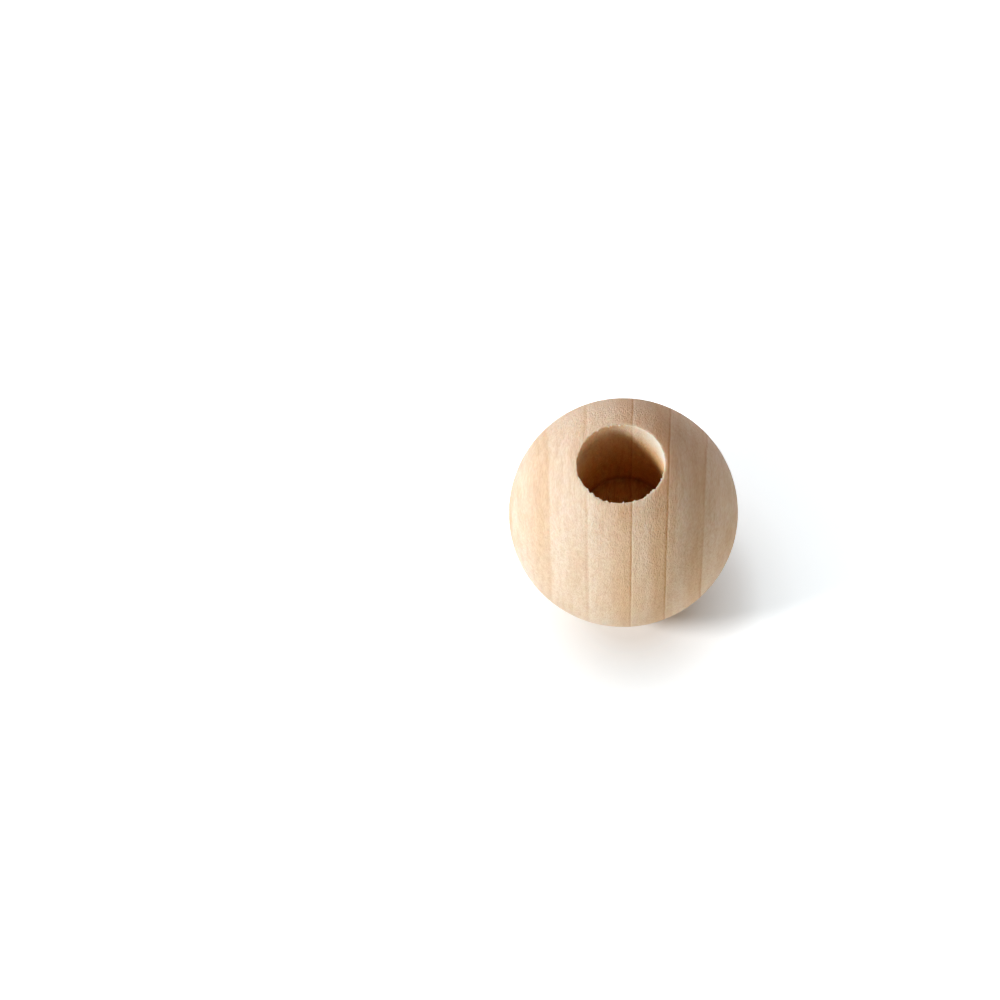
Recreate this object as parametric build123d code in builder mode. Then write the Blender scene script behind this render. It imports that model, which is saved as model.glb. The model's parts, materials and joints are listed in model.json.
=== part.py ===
"""Ball dowel cap: a wooden ball, turned in one piece, that finishes the end of a round dowel.

The ball stands on the small flat where it was parted off the lathe. Opposite the flat, a blind
bore with a flat floor takes the dowel. The origin is the middle of the flat and +Z runs up the
bore.
"""

import os
from math import sqrt

from build123d import *

# Driving dimensions, in millimetres
ball_diameter = 25.4
flat_diameter = 10.2
flat_edge_radius = 0.3
bore_diameter = 9.525
bore_depth = 12.7

# Sizes that follow from them
ball_radius = ball_diameter / 2
flat_radius = flat_diameter / 2
bore_radius = bore_diameter / 2
centre_height = sqrt(ball_radius**2 - flat_radius**2)
crown_height = centre_height + ball_radius
mouth_height = centre_height + sqrt(ball_radius**2 - bore_radius**2)

# The cap is one solid: the turned ball on its flat, with the bore drilled down into it
with BuildPart() as ball_cap:

    # Half section of the turned ball, from the middle of the flat round to the crown
    with BuildSketch(Plane.XZ) as half_section:
        with BuildLine():
            flat_line = Line((0, 0), (flat_radius, 0))
            ball_arc = ThreePointArc(
                flat_line @ 1, (ball_radius, centre_height), (0, crown_height)
            )
            Line(ball_arc @ 1, flat_line @ 0)
        make_face()

        # Sanding eases the edge where the ball meets the flat
        flat_corner = half_section.vertices().sort_by_distance(flat_line @ 1)[0]
        fillet(flat_corner, radius=flat_edge_radius)

    revolve(axis=Axis.Z)

    # Blind bore for the dowel, cut from the crown down; its depth counts from the mouth's rim
    with Locations((0, 0, crown_height)):
        Hole(radius=bore_radius, depth=crown_height - mouth_height + bore_depth)

ball_cap.part.label = "ball_cap"

os.makedirs("parts", exist_ok=True)
export_step(ball_cap.part, "parts/ball_cap.step")
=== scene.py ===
import json
from math import asin, cos, exp, pi, radians, sin, sqrt
from random import Random

import bpy
from mathutils import Matrix, Vector, noise


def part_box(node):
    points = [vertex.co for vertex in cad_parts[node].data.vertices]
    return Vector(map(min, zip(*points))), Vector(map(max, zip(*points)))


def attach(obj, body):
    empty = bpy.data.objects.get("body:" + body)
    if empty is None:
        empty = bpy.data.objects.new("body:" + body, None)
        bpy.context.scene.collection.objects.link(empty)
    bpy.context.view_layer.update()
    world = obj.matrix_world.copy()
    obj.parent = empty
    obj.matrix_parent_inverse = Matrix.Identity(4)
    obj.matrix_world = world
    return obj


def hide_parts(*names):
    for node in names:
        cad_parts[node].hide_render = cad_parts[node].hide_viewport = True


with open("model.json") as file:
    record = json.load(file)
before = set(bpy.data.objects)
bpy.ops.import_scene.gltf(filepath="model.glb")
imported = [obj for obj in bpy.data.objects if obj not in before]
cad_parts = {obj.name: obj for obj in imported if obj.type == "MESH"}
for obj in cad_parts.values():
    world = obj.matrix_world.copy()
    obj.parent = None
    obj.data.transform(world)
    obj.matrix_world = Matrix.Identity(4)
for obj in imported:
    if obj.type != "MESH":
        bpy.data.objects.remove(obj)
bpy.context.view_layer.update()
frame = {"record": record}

# The cap: a ball turned from one piece of hard maple, parted off at the flat that it stands on, and
# drilled for a dowel from the other end, across the grain, which runs along Y. It is sanded on the lathe
# and left bare, so the growth rings, the pores and the fibres that the drill tore at the mouth all show.
mm = 0.001
ball_low, ball_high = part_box("ball_cap")
dowel_bore = next(m for m in frame["record"]["mounts"] if m["name"] == "dowel_bore")
ball_radius = (ball_high.x - ball_low.x) / 2
bore_radius = dowel_bore["dims"]["r_mm"] * mm
mouth_height = ball_high.z
bore_depth = dowel_bore["dims"]["length_mm"] * mm
bore_floor_height = mouth_height - bore_depth
centre_height = mouth_height - sqrt(ball_radius**2 - bore_radius**2)

# Faces round the ball, and rows of them along each stretch of its half section
segments = 480
flat_rows = 22
edge_rows = 7
ball_rows = 110
rim_rows = 9
wall_rows = 36
wall_gather = 1.5
floor_rows = 10
least_step = 0.03 * mm
rim_zone = 0.45 * mm
flat_edge_radius = 0.3 * mm

# Marks of turning on the flat and the ball, and of drilling in the bore, with how often a mark repeats
# in a millimetre along X, Y and Z where it follows the grain
feed_pitch = 0.17 * mm
feed_depth = 0.006 * mm
lathe_ripple = 0.004 * mm
lathe_pitch = 0.62 * mm
lathe_wander = 2.0
lathe_wander_repeats = 0.3
out_of_round = 0.035 * mm
out_of_round_repeats = 0.09
fibre_relief = 0.006 * mm
fibre_relief_repeats = Vector((2.5, 0.4, 2.5))
tear_depth = 0.045 * mm
tear_reach = 1.6 * mm
tear_repeats = Vector((3.1, 0.6, 1.6))
fine_tear_share = 0.7
fine_tear_repeats = Vector((6.3, 1.2, 3.2))
tear_level = 0.35
deep_tear_share = 0.2
cutter_depth = 0.005 * mm
cutter_pitch = 0.55 * mm
cutter_repeats = 0.8
# How far the painted shade in the bore's corner, where wall meets floor, reaches from it
corner_shade_reach = 0.6 * mm

# Tufts of torn fibres at the mouth's rim, which lean in over the bore and are longest where the bit cut
# the fibres square, and chips broken out between them, each as its angle round the bore, half width and
# length or depth
tuft_count = 50
chip_count = 46
tuft_spread = 0.07
least_fibre = 0.04 * mm
most_fibre = 0.2 * mm
along_grain_share = 0.3
rim_draws = Random(3)
torn_fibres = []
for i in range(tuft_count):
    tuft = rim_draws.uniform(0.0, 2 * pi)
    for k in range(rim_draws.randint(1, 4)):
        angle = tuft + rim_draws.gauss(0.0, tuft_spread)
        half_width = rim_draws.uniform(0.04, 0.1) * mm
        length = least_fibre + most_fibre * rim_draws.random() ** 2
        length *= along_grain_share + (1 - along_grain_share) * abs(sin(angle))
        torn_fibres.append((angle, half_width, length))
rim_chips = []
for i in range(chip_count):
    angle = rim_draws.uniform(0.0, 2 * pi)
    half_width = rim_draws.uniform(0.1, 0.34) * mm
    depth = rim_draws.uniform(0.02, 0.1) * mm
    rim_chips.append((angle, half_width, depth))

# How far the torn fibres, the chips and the pale band reach from the rim, how far a fibre stands up and in
# and a chip goes down and out for its length, and the rim's lit side, where the pale band is painted light
# besides the fibres' own paleness
fibre_root_outside = 0.07 * mm
fibre_root_inside = 0.26 * mm
fibre_up, fibre_in = 0.35, 0.95
chip_reach = 0.16 * mm
chip_down, chip_out = 0.6, 0.7
rim_wear = 0.05 * mm
pale_outside = 0.24 * mm
pale_inside = 2.6 * mm
pale_limit = 2.5 * pale_inside
pale_by_length = 7.0 / mm
lit_side = radians(-10)
lit_side_narrowing = 1.5
bump_reach = 2.5


def steps(low, high, count, gather=1.0):
    """Numbers from low up to high, closer together near low where gather is over 1, with high left out."""
    return [low + (high - low) * (i / count) ** gather for i in range(count)]


def cap_profile():
    """Half section from the flat's middle: (radius, height, outward normal, zone, way to the rim)."""
    rows = []

    # Underside, from the middle of the flat to its eased edge
    corner_height = flat_edge_radius
    inner_ball = ball_radius - flat_edge_radius
    corner_radius = sqrt(inner_ball**2 - (centre_height - corner_height) ** 2)
    for radius in steps(least_step, corner_radius, flat_rows):
        rows.append((radius, 0.0, (0.0, -1.0), "flat", None))
    corner_lean = asin(corner_radius / inner_ball)
    for lean in steps(0.0, corner_lean, edge_rows):
        out = (sin(lean), -cos(lean))
        height = corner_height + flat_edge_radius * out[1]
        rows.append((corner_radius + flat_edge_radius * out[0], height, out, "turned", None))

    # Round the ball from the eased edge up to the mouth, in finer steps as the rim comes near
    rim_lean = pi - asin(bore_radius / ball_radius)
    fine_lean = rim_lean - rim_zone / ball_radius
    for lean in steps(corner_lean, fine_lean, ball_rows) + steps(fine_lean, rim_lean, rim_rows):
        out = (sin(lean), -cos(lean))
        way = (rim_lean - lean) * ball_radius
        rows.append((ball_radius * out[0], centre_height + ball_radius * out[1], out, "turned", way))

    # Over the rim and down the wall to the bore's floor, then in to the middle
    wall_depths = steps(0.0, rim_zone, rim_rows) + steps(rim_zone, bore_depth, wall_rows, wall_gather)
    for depth in wall_depths + [bore_depth - least_step]:
        rows.append((bore_radius, mouth_height - depth, (-1.0, 0.0), "bore", depth))
    for inset in steps(0.0, bore_radius - least_step, floor_rows):
        rows.append((bore_radius - inset, bore_floor_height, (0.0, 1.0), "bore_floor", None))
    return rows


def bulge(marks, angle):
    """The highest of the marks round the rim at this angle, each a small rounded bump."""
    highest = 0.0
    for middle, half_width, size in marks:
        turn = (angle - middle + pi) % (2 * pi) - pi
        away = turn * bore_radius / half_width
        if abs(away) < bump_reach:
            highest = max(highest, size * exp(-away * away))
    return highest


fibre_lengths = [bulge(torn_fibres, 2 * pi * j / segments) for j in range(segments)]
chip_depths = [bulge(rim_chips, 2 * pi * j / segments) for j in range(segments)]


def worked(row, j):
    """A point of the profile with the marks of turning and drilling, its pale band of torn fibres and
    painted light, and its painted corner shade.
    """
    radius, height, out, zone, way = row
    angle = 2 * pi * j / segments
    side = Vector((cos(angle), sin(angle), 0.0))
    place = side * radius + Vector((0.0, 0.0, height))
    unit = place / mm
    normal = side * out[0] + Vector((0.0, 0.0, out[1]))
    lift = 0.0
    torn_and_lit = 0.0
    corner_shade = 0.0
    if zone == "flat":
        lift = feed_depth * sin(2 * pi * radius / feed_pitch)
    elif zone == "turned":
        lift = out_of_round * noise.noise(unit * out_of_round_repeats)
        wander = lathe_wander * noise.noise(unit * lathe_wander_repeats)
        lift += lathe_ripple * sin(2 * pi * height / lathe_pitch + wander)
        lift += fibre_relief * noise.noise(unit * fibre_relief_repeats)
    elif zone == "bore":
        tear = noise.noise(unit * tear_repeats)
        tear += fine_tear_share * noise.noise(unit * fine_tear_repeats)
        lift = (deep_tear_share + exp(-way / tear_reach)) * tear_depth * (tear - tear_level)
        lift += cutter_depth * sin(2 * pi * height / cutter_pitch + angle)
        # Painted shade, darkest where the wall meets the floor
        corner_shade = exp(-(((bore_depth - way) / corner_shade_reach) ** 2))
    elif zone == "bore_floor":
        lift = cutter_depth * noise.noise(unit * cutter_repeats)
        corner_shade = exp(-(((bore_radius - radius) / corner_shade_reach) ** 2))
    place = place + normal * lift

    # At the rim, torn fibres lean in over the bore and up a little, and small chips have broken away
    if way is not None and way < pale_limit:
        root = fibre_root_inside if zone == "bore" else fibre_root_outside
        fibre = fibre_lengths[j] * exp(-((way / root) ** 2))
        chip = (rim_wear + chip_depths[j]) * exp(-((way / chip_reach) ** 2))
        place += Vector((0.0, 0.0, fibre_up * fibre - chip_down * chip))
        place += side * (chip_out * chip - fibre_in * fibre)
        # The pale band: the torn fibres' own paleness, and painted light that is strongest on the rim's
        # lit side
        pale = pale_inside if zone == "bore" else pale_outside
        lit_side_share = (0.5 + 0.5 * cos(angle - lit_side)) ** lit_side_narrowing
        torn_and_lit = min(1.0, lit_side_share * exp(-((way / pale) ** 2)) + pale_by_length * fibre)
    return place, torn_and_lit, corner_shade


cap_rows = cap_profile()
points = []
torn_and_lit_amounts = []
corner_shade_amounts = []
for row in cap_rows:
    for j in range(segments):
        point, torn_and_lit, corner_shade = worked(row, j)
        points.append(point)
        torn_and_lit_amounts.append(torn_and_lit)
        corner_shade_amounts.append(corner_shade)
points += [Vector((0.0, 0.0, 0.0)), Vector((0.0, 0.0, bore_floor_height))]
torn_and_lit_amounts += [0.0, 0.0]
corner_shade_amounts += [0.0, 0.0]
flat_middle, floor_middle = len(points) - 2, len(points) - 1
last_row = (len(cap_rows) - 1) * segments
faces = []
face_zones = []
for j in range(segments):
    k = (j + 1) % segments
    for i in range(len(cap_rows) - 1):
        a, b = i * segments + j, i * segments + k
        faces.append((a, b, b + segments, a + segments))
        face_zones.append(cap_rows[i][3])
    faces.append((flat_middle, k, j))
    face_zones.append("flat")
    faces.append((floor_middle, last_row + j, last_row + k))
    face_zones.append("bore_floor")

cap_mesh = bpy.data.meshes.new("turned_cap")
cap_mesh.from_pydata([tuple(p) for p in points], [], faces)
cap_mesh.polygons.foreach_set("use_smooth", [True] * len(faces))
cap_mesh.attributes.new("torn_and_lit", "FLOAT", "POINT").data.foreach_set("value", torn_and_lit_amounts)
cap_mesh.attributes.new("corner_shade", "FLOAT", "POINT").data.foreach_set("value", corner_shade_amounts)
cap = bpy.data.objects.new("turned_cap", cap_mesh)
bpy.context.scene.collection.objects.link(cap)


def srgb(red, green, blue):
    """A colour as a screen shows it, 0 to 255, turned into Blender's linear values."""
    linear = []
    for channel in (red, green, blue):
        c = channel / 255
        linear.append(c / 12.92 if c <= 0.04045 else ((c + 0.055) / 1.055) ** 2.4)
    return (*linear, 1.0)


# Growth rings stand across X. Each ends in a dark line, at these places in millimetres from the axis,
# with how strongly it shows, its width, how late the wood is just before it and just after it. The rings
# lean as they go back and up, and fan out towards the back.
ring_lines = (
    (-12.5, 0.5, 0.2, 0.5, 0.1),
    (-8.29, 0.12, 0.4, 0.65, 0.15),
    (-4.08, 0.25, 0.35, 0.3, 0.0),
    (0.9, 0.75, 0.18, 1.0, 0.4),
    (4.95, 0.9, 0.18, 1.0, 0.45),
    (9.04, 0.75, 0.2, 0.65, 0.15),
    (12.9, 0.5, 0.2, 0.55, 0.1),
)
ring_half_span = 13.4
ring_lean = 0.118
ring_rise = 0.0254
ring_fan = 0.0047
late_start, late_full = 2.2, 0.9

# How often each part of the figure repeats in a millimetre across the rings, along the grain and upwards
drift_repeats = (0.12, 0.12, 0.07)
waver_repeats = (1.2, 0.4, 0.4)
patch_repeats = (0.5, 0.12, 0.12)
band_repeats = (2.2, 0.25, 0.25)
fibre_repeats = (2.6, 0.22, 2.6)
fleck_repeats = (7.0, 1.5, 5.6)
fleck_lean = 0.25
pore_repeats = (5.0, 0.9, 5.0)
pore_patch_repeats = (1.3, 0.5, 1.3)
mottle_repeats = (0.4, 0.07, 0.07)
blush_repeats = (0.16, 0.16, 0.1)
turning_repeats = (0.03, 0.03, 4.2)
turning_patch_repeats = (0.25, 0.25, 0.25)
blush_tint = (0.98, 0.94, 0.9, 1.0)

# Height of each part of the figure, as a share of the flecks' own
streak_relief, groove_relief, turning_relief = 0.25, -0.1, 0.12


def maple_figure():
    """Node group for the wood's figure, alike all through the ball however it is cut, with painted
    highlights by ring lines and rim.
    """
    group = bpy.data.node_groups.new("maple_figure", "ShaderNodeTree")
    make = group.interface.new_socket
    for name, kind in (
        ("Early wood", "NodeSocketColor"),
        ("Late wood", "NodeSocketColor"),
        ("Ring tint", "NodeSocketColor"),
        ("Ring highlight", "NodeSocketColor"),
        ("Pore tint", "NodeSocketColor"),
        ("End grain tint", "NodeSocketColor"),
        ("Torn fibre and painted light", "NodeSocketColor"),
        ("Fleck strength", "NodeSocketFloat"),
        ("Pore strength", "NodeSocketFloat"),
        ("Side relief", "NodeSocketFloat"),
    ):
        make(name=name, in_out="INPUT", socket_type=kind)
    make(name="Colour", in_out="OUTPUT", socket_type="NodeSocketColor")
    make(name="Relief", in_out="OUTPUT", socket_type="NodeSocketFloat")
    make(name="Roughness", in_out="OUTPUT", socket_type="NodeSocketFloat")
    nodes, links = group.nodes, group.links
    given = nodes.new("NodeGroupInput").outputs
    result = nodes.new("NodeGroupOutput").inputs
    coordinates = nodes.new("ShaderNodeTexCoord").outputs

    def feed(socket, value):
        if isinstance(value, bpy.types.NodeSocket):
            links.new(value, socket)
        else:
            socket.default_value = value

    def sums(kind, a, b=0.0, c=0.0):
        node = nodes.new("ShaderNodeMath")
        node.operation = kind
        for socket, value in zip(node.inputs, (a, b, c)):
            feed(socket, value)
        return node.outputs[0]

    def between(value, low, high, to_low=0.0, to_high=1.0):
        node = nodes.new("ShaderNodeMapRange")
        node.interpolation_type = "SMOOTHSTEP"
        for socket, item in zip(node.inputs, (value, low, high, to_low, to_high)):
            feed(socket, item)
        return node.outputs[0]

    def blended(share, a, b, kind="MIX"):
        node = nodes.new("ShaderNodeMix")
        node.data_type = "RGBA"
        node.blend_type = kind
        for socket, value in zip((node.inputs[0], node.inputs[6], node.inputs[7]), (share, a, b)):
            feed(socket, value)
        return node.outputs[2]

    def parts(vector):
        node = nodes.new("ShaderNodeSeparateXYZ")
        links.new(vector, node.inputs[0])
        return node.outputs

    in_mm = nodes.new("ShaderNodeVectorMath")
    in_mm.operation = "SCALE"
    in_mm.inputs["Scale"].default_value = 1 / mm
    links.new(coordinates["Object"], in_mm.inputs[0])
    by_grain = in_mm.outputs[0]

    def stretched(place, repeats, shift):
        """A place in millimetres, with so many repeats to the millimetre each way."""
        node = nodes.new("ShaderNodeMapping")
        node.inputs["Scale"].default_value = repeats
        node.inputs["Location"].default_value = (shift, shift, shift)
        links.new(place, node.inputs["Vector"])
        return node.outputs[0]

    def cloud(place, repeats, shift, detail=2.0, rough=0.5):
        node = nodes.new("ShaderNodeTexNoise")
        node.inputs["Scale"].default_value = 1.0
        node.inputs["Detail"].default_value = detail
        node.inputs["Roughness"].default_value = rough
        links.new(stretched(place, repeats, shift), node.inputs["Vector"])
        return node.outputs[0]

    def cells(place, repeats, shift):
        node = nodes.new("ShaderNodeTexVoronoi")
        node.inputs["Scale"].default_value = 1.0
        links.new(stretched(place, repeats, shift), node.inputs["Vector"])
        return node.outputs["Distance"]

    facing = parts(coordinates["Normal"])
    across_face = sums("ABSOLUTE", facing[0])
    end_face = sums("ABSOLUTE", facing[1])
    end = between(end_face, 0.5, 0.85)
    x, y, z = parts(by_grain)
    rise = sums("SUBTRACT", z, centre_height / mm)
    low_behind = sums("MULTIPLY_ADD", y, 0.5, sums("MULTIPLY", rise, -0.87))
    wander = between(low_behind, 1.0, 8.0, 0.3, 4.0)
    drift = sums("SUBTRACT", cloud(by_grain, drift_repeats, shift=3.0, detail=1.0), 0.5)
    drift = sums("MULTIPLY", drift, wander)
    waver = sums("SUBTRACT", cloud(by_grain, waver_repeats, shift=8.0), 0.5)
    waver = sums("MULTIPLY", waver, 0.16)
    across_rings = sums("ADD", sums("ADD", x, drift), waver)
    across_rings = sums("MULTIPLY_ADD", y, -ring_lean, across_rings)
    across_rings = sums("MULTIPLY_ADD", rise, -ring_rise, across_rings)
    across_rings = sums("DIVIDE", across_rings, sums("MULTIPLY_ADD", y, ring_fan, 1.0))
    ring_place = nodes.new("ShaderNodeCombineXYZ")
    for socket, value in zip(ring_place.inputs, (across_rings, y, rise)):
        links.new(value, socket)
    by_ring = ring_place.outputs[0]
    fleck_place = nodes.new("ShaderNodeCombineXYZ")
    for socket, value in zip(fleck_place.inputs, (sums("MULTIPLY_ADD", y, -fleck_lean, x), y, z)):
        links.new(value, socket)
    by_fleck = fleck_place.outputs[0]

    def ring_ramp(stops):
        """A curve over the rings, through the (place, value) stops that a function gives for each."""
        node = nodes.new("ShaderNodeValToRGB")
        ramp = node.color_ramp
        for element in ramp.elements:
            element.color = (0.0, 0.0, 0.0, 1.0)
        for ring in ring_lines:
            for at, value in stops(*ring):
                share = 0.5 + 0.5 * at / ring_half_span
                if 0.0 < share < 1.0:
                    ramp.elements.new(share).color = (value, value, value, 1.0)
        links.new(sums("MULTIPLY_ADD", across_rings, 0.5 / ring_half_span, 0.5), node.inputs[0])
        return node.outputs[0]

    def line_stops(at, strength, width, late, early):
        dark = ((at - 0.25 * width, strength), (at + 0.15 * width, strength))
        return ((at - width, 0.0), *dark, (at + 0.5 * width, 0.0))

    # A pale strip just after each line, on the groove's flank that faces the lamp: a painted highlight
    def ring_highlight_stops(at, strength, width, late, early):
        return ((at + 0.45 * width, 0.0), (at + 0.8 * width, strength), (at + 1.6 * width, 0.0))

    def groove_stops(at, strength, width, late, early):
        return ((at - 0.5 * width, 0.0), (at + 0.25 * width, strength), (at + width, 0.0))

    def season_stops(at, strength, width, late, early):
        rising = ((at - late_start, 0.3 * late), (at - late_full, 0.9 * late))
        return (*rising, (at, late), (at + 0.6 * width, early))

    patchy = between(cloud(by_ring, patch_repeats, shift=14.0), 0.3, 0.62, 0.45, 1.0)
    patchy = sums("MULTIPLY", patchy, between(across_face, 0.4, 0.85, 1.0, 0.3))
    line = sums("MULTIPLY", ring_ramp(line_stops), patchy)
    ring_highlight = sums("MULTIPLY", ring_ramp(ring_highlight_stops), patchy)
    ring_highlight = sums("MULTIPLY", ring_highlight, between(across_face, 0.3, 0.7, 1.0, 0.3))
    groove = sums("MULTIPLY", ring_ramp(groove_stops), between(across_face, 0.3, 0.65, 1.0, 0.0))
    season = ring_ramp(season_stops)

    band = cloud(by_ring, band_repeats, shift=21.0, detail=3.0, rough=0.6)
    fibre = cloud(by_grain, fibre_repeats, shift=24.0, detail=3.0, rough=0.6)
    streak = sums("MULTIPLY", sums("ADD", band, fibre), 0.5)
    fleck = cloud(by_fleck, fleck_repeats, shift=35.0, rough=0.6)
    pore = between(cells(by_grain, pore_repeats, shift=5.0), 0.1, 0.26, 1.0, 0.0)
    pore_patch = cloud(by_grain, pore_patch_repeats, shift=51.0)
    pore = sums("MULTIPLY", pore, between(pore_patch, 0.42, 0.62))
    mottle = cloud(by_ring, mottle_repeats, shift=42.0, rough=0.55)
    blush = cloud(by_grain, blush_repeats, shift=63.0, detail=1.0)
    turning = cloud(by_grain, turning_repeats, shift=77.0, rough=0.6)
    turning_patch = cloud(by_grain, turning_patch_repeats, shift=81.0)
    turning = sums("MULTIPLY", turning, between(turning_patch, 0.42, 0.62))
    torn_and_lit = nodes.new("ShaderNodeAttribute")
    torn_and_lit.attribute_name = "torn_and_lit"

    lateness = sums("ADD", sums("MULTIPLY", season, 0.9), between(mottle, 0.35, 0.7, 0.0, 0.35))
    wood = blended(lateness, given["Early wood"], given["Late wood"])
    wood = blended(between(blush, 0.45, 0.75, 0.0, 0.25), wood, blush_tint, "MULTIPLY")
    streak_share = sums("MULTIPLY", between(streak, 0.42, 0.64), given["Fleck strength"])
    wood = blended(streak_share, wood, given["Pore tint"], "MULTIPLY")
    fleck_share = sums("MULTIPLY", between(fleck, 0.35, 0.65, 1.0, 0.0), given["Fleck strength"])
    wood = blended(fleck_share, wood, given["Pore tint"], "MULTIPLY")
    wood = blended(sums("MULTIPLY", pore, given["Pore strength"]), wood, given["Pore tint"], "MULTIPLY")
    wood = blended(ring_highlight, wood, given["Ring highlight"])
    wood = blended(line, wood, given["Ring tint"], "MULTIPLY")
    wood = blended(end, wood, given["End grain tint"], "MULTIPLY")
    # The rim's pale band: the torn fibres' own colour, and painted light on the lit side
    wood = blended(torn_and_lit.outputs["Fac"], wood, given["Torn fibre and painted light"])
    links.new(wood, result["Colour"])

    relief = sums("MULTIPLY_ADD", streak, streak_relief, fleck)
    relief = sums("MULTIPLY_ADD", groove, groove_relief, relief)
    relief = sums("MULTIPLY_ADD", turning, turning_relief, relief)
    relief = sums("MULTIPLY", relief, between(end_face, 0.05, 0.6, given["Side relief"], 1.0))
    links.new(relief, result["Relief"])
    dull = sums("MULTIPLY_ADD", streak, 0.22, 0.5)
    dull = sums("MULTIPLY_ADD", end, 0.08, dull)
    links.new(dull, result["Roughness"])
    return group


maple = maple_figure()


def maple_surface(name, colours, fleck_strength, pore_strength, side_relief, relief_height):
    """A bare maple surface, which shows the figure with the given colours and depth of relief."""
    material = bpy.data.materials.new(name)
    material.use_nodes = True
    nodes, links = material.node_tree.nodes, material.node_tree.links
    shader = nodes["Principled BSDF"].inputs
    figure = nodes.new("ShaderNodeGroup")
    figure.node_tree = maple
    for socket, colour in colours.items():
        figure.inputs[socket].default_value = srgb(*colour)
    figure.inputs["Fleck strength"].default_value = fleck_strength
    figure.inputs["Pore strength"].default_value = pore_strength
    figure.inputs["Side relief"].default_value = side_relief
    bump = nodes.new("ShaderNodeBump")
    bump.inputs["Strength"].default_value = 1.0
    bump.inputs["Distance"].default_value = relief_height
    links.new(figure.outputs["Relief"], bump.inputs["Height"])
    links.new(figure.outputs["Colour"], shader["Base Color"])
    links.new(figure.outputs["Roughness"], shader["Roughness"])
    links.new(bump.outputs["Normal"], shader["Normal"])
    shader["Specular IOR Level"].default_value = 0.3
    shader["Subsurface Weight"].default_value = 0.45
    shader["Subsurface Radius"].default_value = (1.0, 0.4, 0.2)
    shader["Subsurface Scale"].default_value = 1.3 * mm
    return material


turned_maple = maple_surface("turned_maple", {
    "Early wood": (241, 230, 214),
    "Late wood": (227, 201, 169),
    "Ring tint": (222, 192, 162),
    "Ring highlight": (246, 234, 212),
    "Pore tint": (238, 228, 216),
    "End grain tint": (254, 253, 251),
    "Torn fibre and painted light": (250, 240, 224),
}, fleck_strength=0.6, pore_strength=0.15, side_relief=0.4, relief_height=0.18 * mm)
parted_maple = maple_surface("parted_maple", {
    "Early wood": (214, 187, 162),
    "Late wood": (203, 174, 147),
    "Ring tint": (234, 220, 210),
    "Ring highlight": (216, 190, 166),
    "Pore tint": (232, 216, 204),
    "End grain tint": (250, 248, 246),
    "Torn fibre and painted light": (236, 212, 184),
}, fleck_strength=0.6, pore_strength=0.9, side_relief=0.4, relief_height=0.06 * mm)
drilled_maple = maple_surface("drilled_maple", {
    "Early wood": (251, 236, 210),
    "Late wood": (246, 224, 191),
    "Ring tint": (236, 218, 200),
    "Ring highlight": (248, 232, 208),
    "Pore tint": (238, 218, 194),
    "End grain tint": (250, 243, 232),
    "Torn fibre and painted light": (255, 249, 238),
}, fleck_strength=0.5, pore_strength=0.7, side_relief=0.8, relief_height=0.2 * mm)

# Painted shade in the bore: its wall and floor are made browner and darker with depth, and most where they
# meet
painted_shade_by_depth = (
    (0.1 * mm, 0.07),
    (1.4 * mm, 0.28),
    (3.2 * mm, 0.52),
    (6.0 * mm, 0.73),
    (9.0 * mm, 0.9),
)
bore_shade_tree = drilled_maple.node_tree
painted_shade_place = bore_shade_tree.nodes.new("ShaderNodeTexCoord")
painted_shade_split = bore_shade_tree.nodes.new("ShaderNodeSeparateXYZ")
painted_shade_depth = bore_shade_tree.nodes.new("ShaderNodeMapRange")
painted_shade_depth.inputs["From Min"].default_value = mouth_height
painted_shade_depth.inputs["From Max"].default_value = bore_floor_height
painted_shade_share = bore_shade_tree.nodes.new("ShaderNodeValToRGB")
painted_shade_share.color_ramp.elements[0].color = (0.0, 0.0, 0.0, 1.0)
painted_shade_share.color_ramp.elements[1].color = (0.9, 0.9, 0.9, 1.0)
for depth, share in painted_shade_by_depth:
    stop = painted_shade_share.color_ramp.elements.new(depth / bore_depth)
    stop.color = (share, share, share, 1.0)
# The painted shade is taken off where the rim's pale band is
painted_shade_clearing = bore_shade_tree.nodes.new("ShaderNodeAttribute")
painted_shade_clearing.attribute_name = "torn_and_lit"
painted_shade_cleared = bore_shade_tree.nodes.new("ShaderNodeMath")
painted_shade_cleared.operation = "SUBTRACT"
painted_shade_cleared.use_clamp = True
painted_shade_mix = bore_shade_tree.nodes.new("ShaderNodeMix")
painted_shade_mix.data_type = "RGBA"
painted_shade_mix.blend_type = "MULTIPLY"
# The colour of the painted shade deep in the bore
painted_shade_mix.inputs[7].default_value = srgb(232, 188, 102)
plain_colour = bore_shade_tree.nodes["Principled BSDF"].inputs["Base Color"]
bore_shade_tree.links.new(plain_colour.links[0].from_socket, painted_shade_mix.inputs[6])
bore_shade_tree.links.new(painted_shade_place.outputs["Object"], painted_shade_split.inputs[0])
bore_shade_tree.links.new(painted_shade_split.outputs[2], painted_shade_depth.inputs["Value"])
bore_shade_tree.links.new(painted_shade_depth.outputs[0], painted_shade_share.inputs[0])
bore_shade_tree.links.new(painted_shade_share.outputs[0], painted_shade_cleared.inputs[0])
bore_shade_tree.links.new(painted_shade_clearing.outputs["Fac"], painted_shade_cleared.inputs[1])
bore_shade_tree.links.new(painted_shade_cleared.outputs[0], painted_shade_mix.inputs[0])
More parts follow.
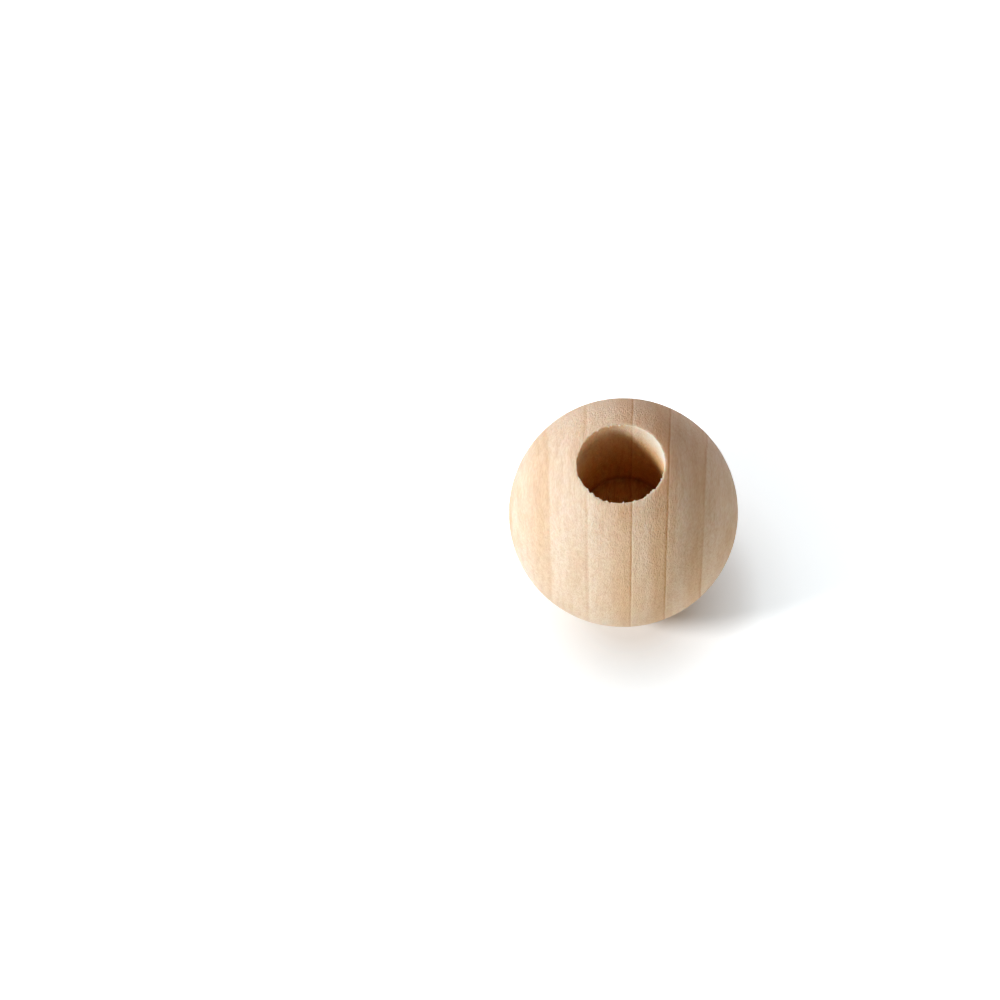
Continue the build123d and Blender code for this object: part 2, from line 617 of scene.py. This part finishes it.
# Painted shade in the corner where the bore's wall meets its floor
corner_shade = bore_shade_tree.nodes.new("ShaderNodeAttribute")
corner_shade.attribute_name = "corner_shade"
corner_shade_mix = bore_shade_tree.nodes.new("ShaderNodeMix")
corner_shade_mix.data_type = "RGBA"
corner_shade_mix.blend_type = "MULTIPLY"
corner_shade_mix.inputs[7].default_value = srgb(222, 208, 196)
bore_shade_tree.links.new(corner_shade.outputs["Fac"], corner_shade_mix.inputs[0])
bore_shade_tree.links.new(painted_shade_mix.outputs[2], corner_shade_mix.inputs[6])
bore_shade_tree.links.new(corner_shade_mix.outputs[2], plain_colour)

for material in (turned_maple, drilled_maple, parted_maple):
    cap_mesh.materials.append(material)
zone_slots = {"turned": 0, "bore": 1, "bore_floor": 1, "flat": 2}
cap_mesh.polygons.foreach_set("material_index", [zone_slots[zone] for zone in face_zones])
cap_mesh.update()
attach(cap, "root")
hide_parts("ball_cap")

# The table: a wide sheet of matt white card under the cap, which carries its shadow and throws soft light
# back up on it. It shows as white to the camera, apart from the shadow near the cap and a painted shade
# round the cap.
card_half_width = 4.0
card_mesh = bpy.data.meshes.new("white_card")
card_sides = ((-1, -1), (1, -1), (1, 1), (-1, 1))
card_corners = [(card_half_width * x, card_half_width * y, 0.0) for x, y in card_sides]
card_mesh.from_pydata(card_corners, [], [(0, 1, 2, 3)])
card = bpy.data.objects.new("white_card", card_mesh)
bpy.context.scene.collection.objects.link(card)
card_paper = bpy.data.materials.new("matt_white_card")
card_paper.use_nodes = True
card_nodes, card_links = card_paper.node_tree.nodes, card_paper.node_tree.links
card_shader = card_nodes["Principled BSDF"].inputs
card_shader["Base Color"].default_value = (0.88, 0.88, 0.88, 1.0)
card_shader["Roughness"].default_value = 0.9
card_shader["Specular IOR Level"].default_value = 0.0
card_shader["Emission Color"].default_value = (0.81, 0.93, 1.0, 1.0)

# White that the card shows the camera over the lamps' own light, by millimetres from the shadow's middle.
# It is least near the cap, which paints shade round it, and paints the far part of the shadow out.
shadow_middle = (0.0, -5.0 * mm, 0.0)
shadow_reach = 34.0 * mm
shadow_whites = (
    (5.0, 0.0),
    (8.0, 0.2),
    (12.0, 0.42),
    (15.0, 0.67),
    (19.0, 0.8),
    (28.0, 0.93),
)
card_place = card_nodes.new("ShaderNodeTexCoord")
card_way = card_nodes.new("ShaderNodeVectorMath")
card_way.operation = "DISTANCE"
card_way.inputs[1].default_value = shadow_middle
card_share = card_nodes.new("ShaderNodeMath")
card_share.operation = "DIVIDE"
card_share.inputs[1].default_value = shadow_reach
card_white = card_nodes.new("ShaderNodeValToRGB")
card_white.color_ramp.elements[0].color = (shadow_whites[0][1],) * 3 + (1.0,)
card_white.color_ramp.elements[1].color = (shadow_whites[-1][1],) * 3 + (1.0,)
for away, white in shadow_whites:
    stop = card_white.color_ramp.elements.new(away * mm / shadow_reach)
    stop.color = (white, white, white, 1.0)
card_links.new(card_place.outputs["Object"], card_way.inputs[0])
card_links.new(card_way.outputs["Value"], card_share.inputs[0])
card_links.new(card_share.outputs[0], card_white.inputs[0])
seen_by = card_nodes.new("ShaderNodeLightPath")
seen_plainly = card_nodes.new("ShaderNodeMath")
seen_plainly.operation = "MAXIMUM"
seen_through = card_nodes.new("ShaderNodeMath")
seen_through.operation = "MAXIMUM"
card_links.new(seen_by.outputs["Is Camera Ray"], seen_plainly.inputs[0])
card_links.new(seen_by.outputs["Is Glossy Ray"], seen_plainly.inputs[1])
card_links.new(seen_plainly.outputs[0], seen_through.inputs[0])
card_links.new(seen_by.outputs["Is Transmission Ray"], seen_through.inputs[1])
seen_white = card_nodes.new("ShaderNodeMath")
seen_white.operation = "MULTIPLY"
card_links.new(seen_through.outputs[0], seen_white.inputs[0])
card_links.new(card_white.outputs[0], seen_white.inputs[1])
card_links.new(seen_white.outputs[0], card_shader["Emission Strength"])
card_mesh.materials.append(card_paper)


# The light: one soft lamp from the left, at a low angle, and two weaker warm ones, one low in front and
# a very wide one behind. They are far off, and the pale room adds very little of its own.
def soft_lamp(name, energy, colour, width, from_left, height):
    """A far lamp of an angular width, placed by its angle round from the front and over the table."""
    lamp = bpy.data.lights.new(name, "SUN")
    lamp.energy = energy
    lamp.color = colour
    lamp.angle = radians(width)
    towards = Vector((-sin(radians(from_left)), -cos(radians(from_left)), 0.0)) * cos(radians(height))
    towards += Vector((0.0, 0.0, sin(radians(height))))
    holder = bpy.data.objects.new(name, lamp)
    holder.rotation_mode = "QUATERNION"
    holder.rotation_quaternion = towards.to_track_quat("Z", "Y")
    bpy.context.scene.collection.objects.link(holder)


soft_lamp("left_lamp", 3.4, (1.0, 1.0, 1.0), width=15.0, from_left=81.0, height=30.5)
soft_lamp("front_lamp", 1.53, (1.0, 0.86, 0.68), width=24.0, from_left=-16.0, height=4.0)
soft_lamp("back_lamp", 1.2, (1.0, 0.72, 0.57), width=90.0, from_left=180.0, height=35.0)

room = bpy.data.worlds.new("pale_room")
room.use_nodes = True
bpy.context.scene.world = room
room_nodes, room_links = room.node_tree.nodes, room.node_tree.links
room_light = room_nodes["Background"]
room_light.inputs["Color"].default_value = (1.0, 0.87, 0.77, 1.0)
room_light.inputs["Strength"].default_value = 0.03
room_behind = room_nodes.new("ShaderNodeBackground")
room_behind.inputs["Color"].default_value = (1.0, 1.0, 1.0, 1.0)
room_path = room_nodes.new("ShaderNodeLightPath")
room_choice = room_nodes.new("ShaderNodeMixShader")
room_links.new(room_path.outputs["Is Camera Ray"], room_choice.inputs[0])
room_links.new(room_light.outputs[0], room_choice.inputs[1])
room_links.new(room_behind.outputs[0], room_choice.inputs[2])
room_links.new(room_choice.outputs[0], room_nodes["World Output"].inputs["Surface"])

# The camera: a long lens that looks steeply down into the bore, with the cap right of the middle.
camera_distance = 450 * mm
camera_elevation = radians(62.8)
camera_roll = radians(-6.3)
focal_pixels = 4059.0
picture_width = 1000.0
ball_pixel_across, ball_pixel_down = 623.3, 512.5
sensor_width = 36.0
back = Vector((0.0, -cos(camera_elevation), sin(camera_elevation)))
level_right = Vector((1.0, 0.0, 0.0))
level_up = back.cross(level_right)
right = level_right * cos(camera_roll) + level_up * sin(camera_roll)
up = level_up * cos(camera_roll) - level_right * sin(camera_roll)
pixel_size = camera_distance / focal_pixels
across = (ball_pixel_across - picture_width / 2) * pixel_size
down = (ball_pixel_down - picture_width / 2) * pixel_size
camera_data = bpy.data.cameras.new("camera")
camera_data.sensor_width = sensor_width
camera_data.lens = focal_pixels * sensor_width / picture_width
camera_data.clip_start = 0.01
camera = bpy.data.objects.new("camera", camera_data)
camera.location = Vector((0.0, 0.0, centre_height)) + back * camera_distance - right * across + up * down
camera.rotation_mode = "QUATERNION"
camera.rotation_quaternion = Matrix((right, up, back)).transposed().to_quaternion()
bpy.context.scene.collection.objects.link(camera)
bpy.context.scene.camera = camera
bpy.context.scene.view_settings.view_transform = "Standard"
